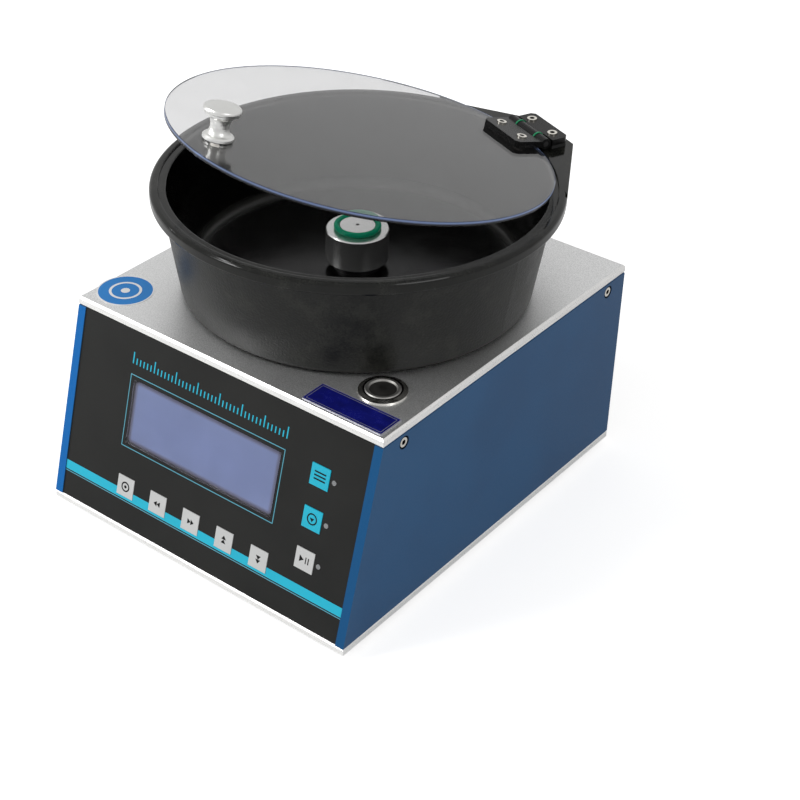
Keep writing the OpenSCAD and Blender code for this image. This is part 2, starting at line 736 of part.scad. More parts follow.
module hinge_lid_leaf() color("#2e2e2c") at_hinge() rotate([-lid_open, 0, 0]) difference() {
    union() {
        leaf(-leaf_start, -lid_leaf_l, leaf_t, -leaf_drop);
        for (i = [0, 1]) mirror([i, 0, 0]) {
            bar([outer_start, -leaf_start - eps, -leaf_drop], [hinge_w / 2, 0, leaf_t - leaf_drop]);
            barrel(outer_start, hinge_w / 2, knuckle_r);
        }
    }
    barrel(-hinge_w, hinge_w, hinge_pin_r + hinge_play);
    leaf_screw_places(-lid_screw_reach) leaf_screw_hole();
}

module hinge_pin() color("silver") at_hinge() barrel(-hinge_w / 2, hinge_w / 2, hinge_pin_r);

module hinge_washers() color("seagreen") at_hinge() for (i = [0, 1]) mirror([i, 0, 0])
    translate([knuckle_w / 2, 0, 0]) rotate([0, 90, 0]) ring(washer_r, hinge_pin_r, washer_t);

module hinge_fixed_screws() color("silver") at_hinge() leaf_screw_places(fixed_screw_reach)
    translate([0, 0, leaf_t - leaf_drop - leaf_sink]) screw(m3, leaf_t - leaf_sink + lid_stand + lip_h - 1);

lid_screw_l = leaf_t - leaf_sink + lid_t + nut_t + 0.6;

module hinge_lid_screws() color("silver") at_hinge() rotate([-lid_open, 0, 0])
    leaf_screw_places(-lid_screw_reach) translate([0, 0, leaf_t - leaf_drop - leaf_sink])
        screw(m3, lid_screw_l);

module hinge_lid_nuts() color("silver") at_hinge() rotate([-lid_open, 0, 0])
    leaf_screw_places(-lid_screw_reach) translate([0, 0, -leaf_drop - lid_t - nut_t]) difference() {
        cylinder(r = nut_r, h = nut_t, $fn = 6);
        translate([0, 0, -1]) cylinder(r = m3[0], h = nut_t + 2);
    }

/* ---- Lid ---- */

lid_edge = 0.3;

module at_knob() translate([0, -knob_reach, 0]) children();

module lid_disc() color("lightblue", 0.4) on_lid() difference() {
    translate([0, 0, leaf_z - lid_t]) rotate_extrude($fn = 180) polygon([[0, 0], [lid_r - lid_edge, 0],
        [lid_r, lid_edge], [lid_r, lid_t - lid_edge], [lid_r - lid_edge, lid_t], [0, lid_t]]);
    at_knob() translate([0, 0, leaf_z - lid_t - 1]) cylinder(r = m4[0] + fit, h = lid_t + 2);
    leaf_screw_places(hinge_reach - lid_screw_reach) translate([0, 0, leaf_z - lid_t - 1])
        cylinder(r = m3[0] + fit, h = lid_t + 2);
}

head_under = knob_h - 5.2;
// The knob's turned outline: foot, waist and domed head
knob_profile = concat(
    [[0, 0], [knob_foot_r - 0.5, 0], [knob_foot_r, 0.5], [knob_foot_r, 1.6], [knob_foot_r - 0.6, 2.2]],
    [for (a = [0:15:90]) [knob_foot_r - 0.8 - (knob_foot_r - 0.8 - knob_neck_r) * sin(a),
        2.4 + (head_under / 2 - 2.4) * (1 - cos(a))]],
    [for (a = [0:15:90]) [knob_neck_r + (knob_r - 0.8 - knob_neck_r) * (1 - cos(a)),
        head_under / 2 * (1 + sin(a))]],
    arc(knob_r - 1.6, knob_h - 3, 1.6, -50, 70, 5),
    [[knob_r - 4, knob_h - 0.5], [0, knob_h]]);

module lid_knob() color("silver") on_lid() at_knob() translate([0, 0, leaf_z]) difference() {
    rotate_extrude() polygon(knob_profile);
    translate([0, 0, -1]) cylinder(r = m4[0], h = 11);
}

module knob_screw() color("silver") on_lid() at_knob()
    translate([0, 0, leaf_z - lid_t]) rotate([180, 0, 0]) screw(m4, lid_t + 8);

/* ---- Chuck and spindle ---- */

module chuck() color("silver") difference() {
    union() {
        rotate_extrude() polygon([[0, chuck_z], [chuck_r - 0.4, chuck_z], [chuck_r, chuck_z + 0.4],
            [chuck_r, shoulder_z - 0.5], [chuck_r - 0.5, shoulder_z], [land_r + 0.3, shoulder_z],
            [land_r, shoulder_z + 0.3], [land_r, shoulder_z + land_h - 0.3],
            [land_r - 0.3, shoulder_z + land_h], [0, shoulder_z + land_h]]);
    }
    translate([0, 0, chuck_z - 1]) ring(chuck_r - skirt_wall, hub_r, skirt_depth + 1);
    translate([0, 0, chuck_z - 1]) cylinder(r = hub_r + eps, h = hub_z - chuck_z + 1);
    translate([0, 0, chuck_z - 1]) cylinder(r = shaft_r + chuck_play, h = shaft_top_z + 0.2 - chuck_z + 1);
    cylinder(r = vacuum_hole_r, h = shoulder_z + 10);
    bar([-hub_r - 1, -drive_pin_r - fit, chuck_z - 1],
        [hub_r + 1, drive_pin_r + fit, drive_pin_z + drive_pin_r + fit]);
}

module chuck_seal_ring() color("seagreen") translate([0, 0, shoulder_z + ring_r])
    rotate_extrude() translate([land_r + ring_r, 0]) circle(r = ring_r, $fn = 32);

module drive_pin() color("silver") translate([-drive_pin_l / 2, 0, drive_pin_z]) rotate([0, 90, 0])
    difference() {
        cylinder(r = drive_pin_r, h = drive_pin_l, $fn = 48);
        translate([0, 0, drive_pin_l / 2]) rotate([0, 90, 0])
            cylinder(r = 0.6, h = 4, center = true, $fn = 24);
    }

module spindle_shaft() color("silver") difference() {
    union() {
        translate([0, 0, shaft_z0]) cylinder(r = shaft_r, h = shaft_top_z - shaft_z0 - 0.4);
        translate([0, 0, shaft_top_z - 0.4]) cylinder(r1 = shaft_r, r2 = shaft_r - 0.4, h = 0.4);
        translate([0, 0, bearing_z1 + fit]) cylinder(r = collar_r, h = hub_z - bearing_z1 - fit);
    }
    translate([0, 0, shaft_z0 - 1]) cylinder(r = shaft_bore_r, h = shaft_top_z - shaft_z0 + 2);
    translate([-10, 0, drive_pin_z]) rotate([0, 90, 0]) cylinder(r = drive_pin_r, h = 20, $fn = 48);
}

/* ---- Motor ---- */

module motor_housing() color("#404040") difference() {
    union() {
        translate([0, 0, can_z0]) cylinder(r = motor_r, h = motor_h);
        translate([0, 0, in_z1 - eps]) cylinder(r = register_r, h = plate_t + eps);
    }
    translate([0, 0, can_z0 - 1]) cylinder(r = motor_r - can_wall, h = motor_h - can_top + 1);
    translate([0, 0, can_z0]) cylinder(r = bearing_r, h = bearing_z1 - can_z0);
    translate([0, 0, can_z0]) cylinder(r = collar_r + 0.6, h = motor_h + plate_t + 1);
    around(motor_screw_circle, 4) translate([0, 0, in_z1 - can_top - 1])
        cylinder(r = m4[0], h = can_top + 2);
    around(cap_screw_circle, 4, 0) translate([0, 0, can_z0 - 1]) cylinder(r = m2[0], h = 9, $fn = 32);
}

module motor_end_cap() color("#505050") difference() {
    translate([0, 0, cap_z0]) cylinder(r = motor_r, h = cap_t);
    translate([0, 0, lower_bearing_z0]) cylinder(r = bearing_r, h = cap_t);
    translate([0, 0, cap_z0 - 1]) cylinder(r = shaft_r + 2, h = cap_t + 2);
    around(cap_screw_circle, 4, 0) translate([0, 0, cap_z0 - 1]) {
        cylinder(r = m2[0] + fit, h = cap_t + 2, $fn = 32);
        cylinder(r = m2[1] + fit, h = cap_sink + 1, $fn = 32);
    }
    around(union_screw_circle, 3, 30) translate([0, 0, cap_z0 - 1]) cylinder(r = m2[0], h = cap_t, $fn = 32);
}

cap_screw_l = union_flange_t + cap_t - 2;

// One pattern of small screws: four hold the end cap and three the rotary union beneath it
module cap_screws() color("silver") {
    around(cap_screw_circle, 4, 0) translate([0, 0, cap_z0 + cap_sink]) rotate([180, 0, 0])
        screw(m2, cap_screw_l);
    around(union_screw_circle, 3, 30) translate([0, 0, cap_z0 - union_flange_t]) rotate([180, 0, 0])
        screw(m2, cap_screw_l);
}

stator_z0 = can_z0 + 7;
slot_count = 12;
stator_r = motor_r - can_wall;

module motor_stator() color("darkorange") translate([0, 0, stator_z0]) difference() {
    ring(stator_r, rotor_r + air_gap, stator_h);
    around(rotor_r + air_gap + 2, slot_count, 0) translate([-3, -1.2, -1]) cube([5.5, 2.4, stator_h + 2]);
}

// The magnet rotor, with spacer hubs that reach to the two bearings
module motor_rotor() color("dimgray") difference() {
    union() {
        translate([0, 0, stator_z0 + 1]) cylinder(r = rotor_r, h = stator_h - 2);
        translate([0, 0, lower_bearing_z0 + bearing_w + fit])
            cylinder(r = collar_r, h = bearing_z1 - bearing_w - fit - (lower_bearing_z0 + bearing_w + fit));
    }
    translate([0, 0, can_z0 - cap_t]) cylinder(r = shaft_r, h = motor_h + 2 * cap_t);
}

module bearing() difference() {
    cylinder(r = bearing_r, h = bearing_w);
    translate([0, 0, -1]) cylinder(r = shaft_r + shaft_play, h = bearing_w + 2);
    for (z = [-1, bearing_w - 0.4]) translate([0, 0, z])
        ring(bearing_r - 1.8, collar_r + 0.8, z < 0 ? 1.4 : 2);
}

module shaft_bearings() color("silver") {
    translate([0, 0, bearing_z1 - bearing_w]) bearing();
    translate([0, 0, lower_bearing_z0]) bearing();
}

module motor_screws() color("silver") around(motor_screw_circle, 4)
    translate([0, 0, deck_z - head_recess]) screw(m4, plate_t - head_recess + can_top - 0.5);

/* ---- Vacuum line ---- */

module rotary_union() color("silver") difference() {
    union() {
        translate([0, 0, cap_z0 - union_flange_t]) difference() {
            cylinder(r = union_flange_r, h = union_flange_t);
            around(union_screw_circle, 3, 30) translate([0, 0, -1])
                cylinder(r = m2[0] + fit, h = union_flange_t + 2, $fn = 32);
        }
        translate([0, 0, union_z0]) cylinder(r = union_r, h = union_h);
    }
    translate([0, 0, shaft_z0 - 0.5]) cylinder(r = shaft_r + shaft_play, h = union_h);
    translate([0, 0, union_z0 + 3]) cylinder(r = 2.5, h = union_h - 4);
    translate([0, 0, port_z]) rotate([-90, 0, 0]) cylinder(r = tube_bore_r + 0.6, h = union_r + 1);
}

fitting_l = 7;
fitting_end = union_r + fitting_l;

module tail(l) difference() {
    cylinder(r = tube_bore_r, h = l);
    translate([0, 0, -1]) cylinder(r = tube_bore_r - 0.8, h = l + 2);
}

module union_fitting() color("goldenrod") translate([0, 0, port_z]) rotate([-90, 0, 0]) difference() {
    union() {
        translate([0, 0, 4]) cylinder(r = tube_bore_r + 0.6 - thread_play, h = union_r - 3);
        translate([0, 0, union_r]) cylinder(r = 4, h = 2.5, $fn = 6);
        translate([0, 0, union_r]) cylinder(r = tube_bore_r, h = fitting_l);
    }
    translate([0, 0, 3]) cylinder(r = tube_bore_r - 0.8, h = 20);
}

valve_y0 = rear_in_y - 23.5 - valve_l;
tube_drop = port_z - valve_z;
bend_r = round(tube_drop / 3);
tube_y0 = fitting_end - fitting_l + 2.5 + 0.2;
tube_mid_y = (tube_y0 + valve_y0) / 2 - 2;

tube_lap = 0.02;

module tube_straight(l) difference() {
    cylinder(r = tube_r, h = l, $fn = 48);
    translate([0, 0, -1]) cylinder(r = tube_bore_r, h = l + 2, $fn = 48);
}

module tube_bend() rotate_extrude(angle = 90, $fn = 64) translate([bend_r, 0]) difference() {
    circle(r = tube_r + tube_lap, $fn = 48);
    circle(r = tube_bore_r - tube_lap, $fn = 48);
}

tail_l = 6;
barb_inner = 5;

// One tube drops in an S from the rotary union to the valve; a short one goes on to the rear
module vacuum_tubes() color("white") {
    translate([0, tube_mid_y - bend_r + tube_lap, port_z]) rotate([90, 0, 0])
        tube_straight(tube_mid_y - bend_r - tube_y0 + tube_lap);
    translate([0, tube_mid_y - bend_r, port_z - bend_r]) rotate([0, -90, 0]) tube_bend();
    translate([0, tube_mid_y, valve_z + bend_r - tube_lap])
        tube_straight(tube_drop - 2 * bend_r + 2 * tube_lap);
    translate([0, tube_mid_y + bend_r, valve_z + bend_r]) rotate([0, -90, 0]) rotate([0, 0, 180])
        tube_bend();
    translate([0, tube_mid_y + bend_r - tube_lap, valve_z]) rotate([-90, 0, 0])
        tube_straight(valve_y0 - tube_mid_y - bend_r + tube_lap);
    translate([0, valve_y0 + valve_l, valve_z]) rotate([-90, 0, 0])
        tube_straight(rear_in_y - 4 - valve_y0 - valve_l);
}

module solenoid_valve() color("steelblue") {
    difference() {
        bar([-valve_w / 2, valve_y0, in_z0], [valve_w / 2, valve_y0 + valve_l, valve_top_z]);
        translate([0, valve_y0 - 1, valve_z]) rotate([-90, 0, 0])
            cylinder(r = tube_bore_r - 0.8, h = valve_l + 2);
    }
    for (y = [valve_y0 - tail_l, valve_y0 + valve_l]) translate([0, y, valve_z])
        rotate([-90, 0, 0]) tail(tail_l);
    translate([0, valve_y0 + valve_l / 2, valve_top_z]) {
        bar([-coil_w / 2, -coil_w / 2, 0], [coil_w / 2, coil_w / 2, coil_h]);
        cylinder(r = coil_w / 5, h = coil_h + 3);
    }
}

// A bulkhead hose barb: washer face outside, nut inside, and three barbs on its stem
module rear_barb() color("goldenrod") translate([0, rear_out_y, valve_z]) rotate([-90, 0, 0]) difference() {
    union() {
        translate([0, 0, -panel_t - barb_hex_t]) cylinder(r = barb_r + 1.5, h = panel_t + barb_hex_t + 1);
        translate([0, 0, -panel_t - barb_hex_t]) cylinder(r = barb_hex_r, h = barb_hex_t, $fn = 6);
        cylinder(r = barb_hex_r, h = barb_hex_t, $fn = 6);
        cylinder(r = barb_r, h = barb_l);
        for (i = [0:2]) translate([0, 0, barb_l - 3.2 * (i + 1)])
            cylinder(r1 = barb_r + 0.6, r2 = barb_r - 0.2, h = 3);
        translate([0, 0, -panel_t - barb_hex_t - barb_inner]) cylinder(r = tube_bore_r, h = barb_inner + 1);
    }
    translate([0, 0, -20]) cylinder(r = tube_bore_r - 0.8, h = barb_l + 30);
}

/* ---- Electronics ---- */

stand_h = 6;
board_w = 48;
board_l = 124;
board_hi_y = rear_y - 45;
board_lo = [-in_x + 9, board_hi_y - board_l];
board_hi = [board_lo.x + board_w, board_hi_y];

chip_at = [14, 44];
chip_w = 14;
can_r = 4;
fin_l = 18;

module stand(h) cylinder(r = 2.5, h = h, $fn = 32);

module control_board() color("darkgreen") {
    z1 = in_z0 + stand_h + board_t;
    bar([board_lo.x, board_lo.y, in_z0 + stand_h], [board_hi.x, board_hi.y, z1]);
    for (x = [board_lo.x + 4, board_hi.x - 4], y = [board_lo.y + 4, board_hi.y - 4])
        translate([x, y, in_z0]) stand(stand_h + eps);
    translate([board_lo.x, board_lo.y, z1 - eps]) {
        translate([chip_at.x, chip_at.y, 0]) cube([chip_w, chip_w, 1.6]);
        for (i = [0:3]) translate([8 + i * 11, board_l - 20, 0])
            cylinder(r = can_r, h = 3.5 * can_r, $fn = 32);
        for (i = [0:5]) translate([4 + i * 7, 70, 0]) cube([4, fin_l, 12]);
        translate([4, 70, 0]) cube([39, fin_l, 2]);
        for (i = [0:3]) translate([6 + i * 10, 6, 0]) cube([7, 6, 7]);
    }
}

supply_w = 48;
supply_l = 110;
supply_hi = [in_x - 11, rear_y - 51];
supply_lo = [supply_hi.x - supply_w, supply_hi.y - supply_l];
supply_h = 32;
supply_wall = 1.5;

// A power supply block with vent slots in its top and a terminal strip at its front
module power_supply() color("silver") {
    difference() {
        bar([supply_lo.x, supply_lo.y, in_z0], [supply_hi.x, supply_hi.y, in_z0 + supply_h]);
        for (i = [0:9])
            translate([supply_lo.x + 8, supply_lo.y + 14 + i * 8, in_z0 + supply_h - supply_wall])
                cube([supply_w - 16, 3.5, supply_wall + 1]);
    }
    bar([supply_lo.x + 4, supply_lo.y - 9, in_z0], [supply_hi.x - 4, supply_lo.y, in_z0 + 14]);
}

blade = [2, 4];

// A standard three-blade mains inlet: flange, body behind the panel, deep socket and blades
module power_inlet() color("#1e1e1e") translate([inlet_x, 0, inlet_z]) {
    difference() {
        union() {
            bar([-inlet_flange.x / 2, rear_out_y, -inlet_flange.y / 2],
                [inlet_flange.x / 2, rear_out_y + 3, inlet_flange.y / 2]);
            bar([-inlet_cut.x / 2 + fit, rear_out_y - inlet_depth, -inlet_cut.y / 2 + fit],
                [inlet_cut.x / 2 - fit, rear_out_y + eps, inlet_cut.y / 2 - fit]);
        }
        bar([-12, rear_out_y - inlet_depth + 2.5, -8.2], [12, rear_out_y + 4, 8.2]);
        for (i = [-1, 1]) translate([i * inlet_screw_pitch / 2, rear_out_y + 4, 0])
            rotate([90, 0, 0]) cylinder(r = m3[0] + fit, h = 5);
    }
    for (p = [[-7, -1.5], [7, -1.5], [0, 2.5]])
        bar([p.x - blade.x / 2, rear_out_y - inlet_depth, p.y - blade.y / 2],
            [p.x + blade.x / 2, rear_out_y - 1, p.y + blade.y / 2]);
    for (i = [-1, 1]) translate([i * inlet_screw_pitch / 2, rear_out_y + 3, 0])
        rotate([-90, 0, 0]) screw(m3, 3 + panel_t);
}

bottom_plate();
top_plate();
left_side_plate();
right_side_plate();
corner_posts();
front_panel();
rear_panel();
side_screws();
base_screws();
feet();
display_window();
display_module();
key_board();
key_switches();
indicator_lamps();
key_mode();
key_pump();
key_run();
key_set();
key_left();
key_right();
key_up();
key_down();
button_bezel();
button_cap();
button_nut();
bowl();
bowl_gasket();
bowl_screws();
spindle_bush();
hinge_shim();
hinge_fixed_leaf();
hinge_lid_leaf();
hinge_pin();
hinge_washers();
hinge_fixed_screws();
hinge_lid_screws();
hinge_lid_nuts();
lid_disc();
lid_knob();
knob_screw();
chuck();
chuck_seal_ring();
drive_pin();
spindle_shaft();
motor_housing();
motor_end_cap();
motor_stator();
motor_rotor();
shaft_bearings();
motor_screws();
cap_screws();
rotary_union();
union_fitting();
vacuum_tubes();
solenoid_valve();
rear_barb();
control_board();
power_supply();
power_inlet();
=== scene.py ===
import math

import bpy
from mathutils import Matrix, Vector


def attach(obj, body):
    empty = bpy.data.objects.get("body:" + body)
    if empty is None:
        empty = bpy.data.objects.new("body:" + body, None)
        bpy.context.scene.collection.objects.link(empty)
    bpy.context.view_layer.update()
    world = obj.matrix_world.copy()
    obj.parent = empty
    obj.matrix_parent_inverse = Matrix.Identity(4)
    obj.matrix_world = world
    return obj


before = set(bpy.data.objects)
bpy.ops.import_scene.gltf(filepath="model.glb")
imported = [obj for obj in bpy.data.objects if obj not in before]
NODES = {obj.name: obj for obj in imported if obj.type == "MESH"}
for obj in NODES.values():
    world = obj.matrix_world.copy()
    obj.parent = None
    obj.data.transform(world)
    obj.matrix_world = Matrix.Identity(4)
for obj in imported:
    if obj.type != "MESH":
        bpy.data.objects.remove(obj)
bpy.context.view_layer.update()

# A bench-top spin coater: camera, finishes, printed marks and light around the CAD's meshes.
# Finishes work in metres. Marks are laid out in millimetres, on the front panel or the deck.
MM = 0.001
SCENE = bpy.context.scene


# ---------------------------------------------------------------- camera
# Solved from the corners of the case, for a picture of 800 pixels
PICTURE = 800
FOCAL = 1750.36
CENTRE_X, CENTRE_Y = 350.6, 393.9
SENSOR = 36.0
AZIMUTH, ELEVATION, ROLL = 38.535, 34.16, 0.724
CAMERA_AT = Vector((492.8, -622.8, 583.1)) * MM


def camera_axes(azimuth, elevation, roll):
    """The camera's right, up and backward axes."""
    a, e, r = map(math.radians, (azimuth, elevation, roll))
    fwd = Vector((-math.sin(a) * math.cos(e), math.cos(a) * math.cos(e), -math.sin(e)))
    right = Vector((math.cos(a), math.sin(a), 0.0))
    up = right.cross(fwd)
    c, s = math.cos(r), math.sin(r)
    return c * right + s * up, -s * right + c * up, -fwd


cam_data = bpy.data.cameras.new("camera")
cam = bpy.data.objects.new("camera", cam_data)
SCENE.collection.objects.link(cam)
SCENE.camera = cam
axes = Matrix(camera_axes(AZIMUTH, ELEVATION, ROLL)).transposed().to_4x4()
cam.matrix_world = Matrix.Translation(CAMERA_AT) @ axes
cam_data.sensor_width = SENSOR
cam_data.lens = FOCAL / PICTURE * SENSOR
cam_data.shift_x = (PICTURE / 2 - CENTRE_X) / PICTURE
cam_data.shift_y = -(PICTURE / 2 - CENTRE_Y) / PICTURE
cam_data.clip_start = 0.01
cam_data.clip_end = 50.0


# ---------------------------------------------------------------- materials
class Finish:
    """A principled material with a small kit of procedural nodes, in object metres."""

    def __init__(self, name, colour, rough, metallic=0.0, **sockets):
        self.m = bpy.data.materials.new(name)
        self.m.use_nodes = True
        self.t = self.m.node_tree
        self.t.nodes.clear()
        out = self.node("OutputMaterial")
        self.b = self.node("BsdfPrincipled")
        self.t.links.new(self.b.outputs[0], out.inputs[0])
        self.b.inputs["Base Color"].default_value = (*colour, 1)
        self.b.inputs["Roughness"].default_value = rough
        self.b.inputs["Metallic"].default_value = metallic
        for k, v in sockets.items():
            self.b.inputs[k.replace("_", " ")].default_value = v
        coordinates = self.node("TexCoord")
        self.co = coordinates.outputs["Object"]
        self.normal = coordinates.outputs["Normal"]

    def node(self, kind):
        return self.t.nodes.new("ShaderNode" + kind)

    def put(self, socket, value):
        """Links value to the socket if it is one itself, and sets it otherwise."""
        if isinstance(value, bpy.types.NodeSocket):
            self.t.links.new(value, socket)
        elif isinstance(value, (tuple, list)) and socket.type == "RGBA":
            socket.default_value = (*value[:3], 1)
        else:
            socket.default_value = value

    def math(self, op, *values, clamp=False):
        n = self.node("Math")
        n.operation, n.use_clamp = op, clamp
        for socket, value in zip(n.inputs, values):
            self.put(socket, value)
        return n.outputs[0]

    def add(self, a, b):
        return self.math("ADD", a, b)

    def sub(self, a, b, clamp=False):
        return self.math("SUBTRACT", a, b, clamp=clamp)

    def mul(self, a, b):
        return self.math("MULTIPLY", a, b)

    def share(self, a, part, b):
        """The fixed part of a and the rest of b."""
        return self.add(self.mul(a, part), self.mul(b, 1 - part))

    def blend(self, mask, a, b):
        """a where the mask is 1, b where it is 0."""
        return self.add(self.mul(mask, a), self.mul(self.sub(1.0, mask), b))

    def xyz(self, vector=None):
        n = self.node("SeparateXYZ")
        self.put(n.inputs[0], vector or self.co)
        return n.outputs[0], n.outputs[1], n.outputs[2]

    def vec(self, x, y, z):
        n = self.node("CombineXYZ")
        for socket, value in zip(n.inputs, (x, y, z)):
            self.put(socket, value)
        return n.outputs[0]

    def vector_math(self, op, a, b=None, output=0):
        n = self.node("VectorMath")
        n.operation = op
        self.put(n.inputs[0], a)
        if b is not None:
            self.put(n.inputs[1], b)
        return n.outputs[output]

    def dot(self, a, b):
        return self.vector_math("DOT_PRODUCT", a, b, "Value")

    def off_axis(self, point, axis, vector=None):
        """Distance from the straight line through point along the unit vector axis."""
        arm = self.vector_math("SUBTRACT", vector or self.co, point)
        across = self.vector_math("CROSS_PRODUCT", arm, axis)
        return self.vector_math("LENGTH", across, output="Value")

    def noise(self, size, detail=3.0, vector=None, stretch=None, rough=0.5):
        """Noise whose features are about size metres across, from 0 to 1."""
        v = vector or self.co
        if stretch:
            mp = self.node("Mapping")
            self.put(mp.inputs["Vector"], v)
            mp.inputs["Scale"].default_value = stretch
            v = mp.outputs[0]
        n = self.node("TexNoise")
        self.put(n.inputs["Vector"], v)
        n.inputs["Scale"].default_value = 1.0 / size
        n.inputs["Detail"].default_value = detail
        n.inputs["Roughness"].default_value = rough
        return n.outputs[0]

    def cells(self, size):
        """Distance from the middle of the nearest of many cells, each about size metres wide."""
        n = self.node("TexVoronoi")
        self.put(n.inputs["Vector"], self.co)
        n.inputs["Scale"].default_value = 1.0 / size
        return n.outputs["Distance"]

    def step(self, value, a, b, lo=0.0, hi=1.0):
        """lo where value is a, hi where it is b, smooth between and held outside."""
        n = self.node("MapRange")
        n.clamp = True
        n.interpolation_type = "SMOOTHSTEP"
        self.put(n.inputs[0], value)
        for i, v in enumerate((a, b, lo, hi), 1):
            n.inputs[i].default_value = v
        return n.outputs[0]

    def below(self, value, a, b):
        """1 where value is under a, 0 where it is over b."""
        return self.step(value, a, b, 1.0, 0.0)

    def mix(self, fac, a, b):
        """Colour a where fac is 0, b where it is 1."""
        n = self.node("Mix")
        n.data_type = "RGBA"
        self.put(n.inputs["Factor"], fac)
        for letter, colour in (("A", a), ("B", b)):
            self.put([s for s in n.inputs if s.name == letter and s.type == "RGBA"][0], colour)
        return [s for s in n.outputs if s.type == "RGBA"][0]

    def paint(self, colour):
        self.put(self.b.inputs["Base Color"], colour)

    def roughen(self, value):
        self.put(self.b.inputs["Roughness"], value)

    def glow(self, colour, strength):
        self.put(self.b.inputs["Emission Color"], colour)
        self.b.inputs["Emission Strength"].default_value = strength

    def bump(self, height, depth, strength=1.0):
        n = self.node("Bump")
        n.inputs["Strength"].default_value = strength
        n.inputs["Distance"].default_value = depth
        self.put(n.inputs["Height"], height)
        self.t.links.new(n.outputs[0], self.b.inputs["Normal"])


def tint(c, k):
    return tuple(min(1.0, max(0.0, v * k)) for v in c)


def plain(name, colour, rough, metallic=0.0, vary=0.06, size=0.02, grain=0.0004, depth=0.00001,
          rough_by=0.06, stretch=None, **sockets):
    """A moulded, painted or machined finish: slow colour drift, uneven gloss and a fine grain."""
    f = Finish(name, colour, rough, metallic, **sockets)
    slow = f.noise(size, 4.0)
    f.paint(f.mix(f.step(slow, 0.3, 0.7), tint(colour, 1 - vary), tint(colour, 1 + vary)))
    fine = f.noise(grain, 2.0, stretch=stretch)
    gloss = f.share(slow, 0.5, fine)
    f.roughen(f.step(gloss, 0.35, 0.65, max(0.02, rough - rough_by), rough + rough_by))
    f.bump(fine, depth)
    return f


def turned(name, colour, rough, cx=0.0, cy=0.0, pitch=0.00028, depth=0.000006, vary=0.08,
           spread=0.22):
    """Metal turned on a lathe about a vertical axis: rings of tool marks and uneven gloss.

    The distance from that axis is kept as r."""
    f = Finish(name, colour, rough, 1.0)
    f.r, z = f.off_axis((cx * MM, cy * MM, 0), (0, 0, 1)), f.xyz()[2]
    rings = f.noise(pitch, 2.0, vector=f.vec(f.r, 0.0, z))
    slow = f.noise(0.012, 3.0)
    f.paint(f.mix(f.step(rings, 0.25, 0.75), tint(colour, 1 - vary), tint(colour, 1 + vary)))
    gloss = f.share(rings, 0.6, slow)
    f.roughen(f.step(gloss, 0.3, 0.7, rough * (1 - spread), rough * (1 + spread)))
    f.bump(rings, depth)
    return f


def dress(finish, *names):
    for name in names:
        for s in NODES[name].material_slots:
            s.link = "OBJECT"
            s.material = finish.m


# Bare plates: mottled faces with a fine sparkle; the milled edges are paler, partly bare metal and
# partly a painted highlight
def plate_finish(name, face):
    edge = (0.95, 0.945, 0.93)
    f = Finish(name, face, 0.36, 1.0)
    upright = f.math("ABSOLUTE", f.xyz(f.normal)[2])
    flat = f.step(upright, 0.86, 0.96)
    grit = f.noise(0.00055, 2.0)
    fleck = f.noise(0.0009, 3.0, rough=0.7)
    slow = f.noise(0.05, 3.0)
    body = f.mix(f.step(grit, 0.3, 0.72), tint(face, 0.74), tint(face, 1.14))
    body = f.mix(f.step(fleck, 0.62, 0.75), body, tint(face, 1.25))
    body = f.mix(f.mul(f.step(slow, 0.35, 0.7), 0.35), body, tint(face, 0.88))
    lines = f.noise(0.0006, 3.0, stretch=(0.04, 0.04, 1.0))
    # The edges' pale colour and lower metallic are partly bare milled metal and partly a painted
    # highlight
    edge_with_highlight = f.mix(f.step(lines, 0.3, 0.7), tint(edge, 0.93), tint(edge, 1.05))
    f.paint(f.mix(flat, edge_with_highlight, body))
    f.put(f.b.inputs["Metallic"], f.step(flat, 0.0, 1.0, 0.35, 0.95))
    f.roughen(f.add(f.mul(flat, 0.10), f.step(fleck, 0.3, 0.7, 0.26, 0.38)))
    f.bump(f.mul(grit, flat), 0.00004, 0.6)
    return f


# The deck's face is painted paler than the base plate's same metal: painted light on the top
dress(plate_finish("deck_metal", (0.95, 0.955, 0.95)), "top_plate")
dress(plate_finish("base_metal", (0.88, 0.88, 0.88)), "bottom_plate")

# The side screws lie at plus and minus this y, along x
SIDE_SCREW = (0.0, 0.089, 0.1067)
# Each pair is a radius from a screw's axis: painted shade inside the first, plain outside the
# second
RECESS_SHADE_EDGE = (0.00345, 0.0036)
SOCKET_SHADE_EDGE = (0.00125, 0.0014)


def off_side_screws(f):
    x, y, z = f.xyz()
    return f.off_axis(SIDE_SCREW, (1, 0, 0), f.vec(x, f.math("ABSOLUTE", y), z))


# Blue side plates: satin coat with a faint orange-peel; the front edges are a purer blue, the left
# one painted lighter and the right one darker as painted light and shade, and the screws' recesses
# are painted dark as painted shade
f = Finish("side_blue", (0.01, 0.11, 0.33), 0.34, 0.0, Specular_IOR_Level=0.18)
front = f.below(f.xyz(f.normal)[1], -0.95, -0.80)
peel = f.noise(0.0011, 2.0)
cloud = f.noise(0.06, 3.0)
face = f.mix(f.step(cloud, 0.3, 0.7), (0.020, 0.080, 0.190), (0.027, 0.098, 0.222))
# Left strip painted lighter, right strip darker: painted light and shade
lit_and_shaded_strips = f.mix(f.step(f.xyz()[0], -0.05, 0.05), (0.0, 0.130, 0.43), (0.004, 0.082, 0.225))
# The recesses about the side screws are painted near black: painted shade
recess_shade = f.below(off_side_screws(f), *RECESS_SHADE_EDGE)
f.paint(f.mix(recess_shade, f.mix(front, face, lit_and_shaded_strips), (0.002, 0.003, 0.004)))
f.roughen(f.step(f.share(cloud, 0.6, peel), 0.35, 0.65, 0.30, 0.42))
f.bump(peel, 0.00002, 0.7)
dress(f, "left_side_plate", "right_side_plate")

dress(plain("post_metal", (0.62, 0.62, 0.62), 0.34, 1.0, stretch=(1, 1, 0.05)), "corner_posts")

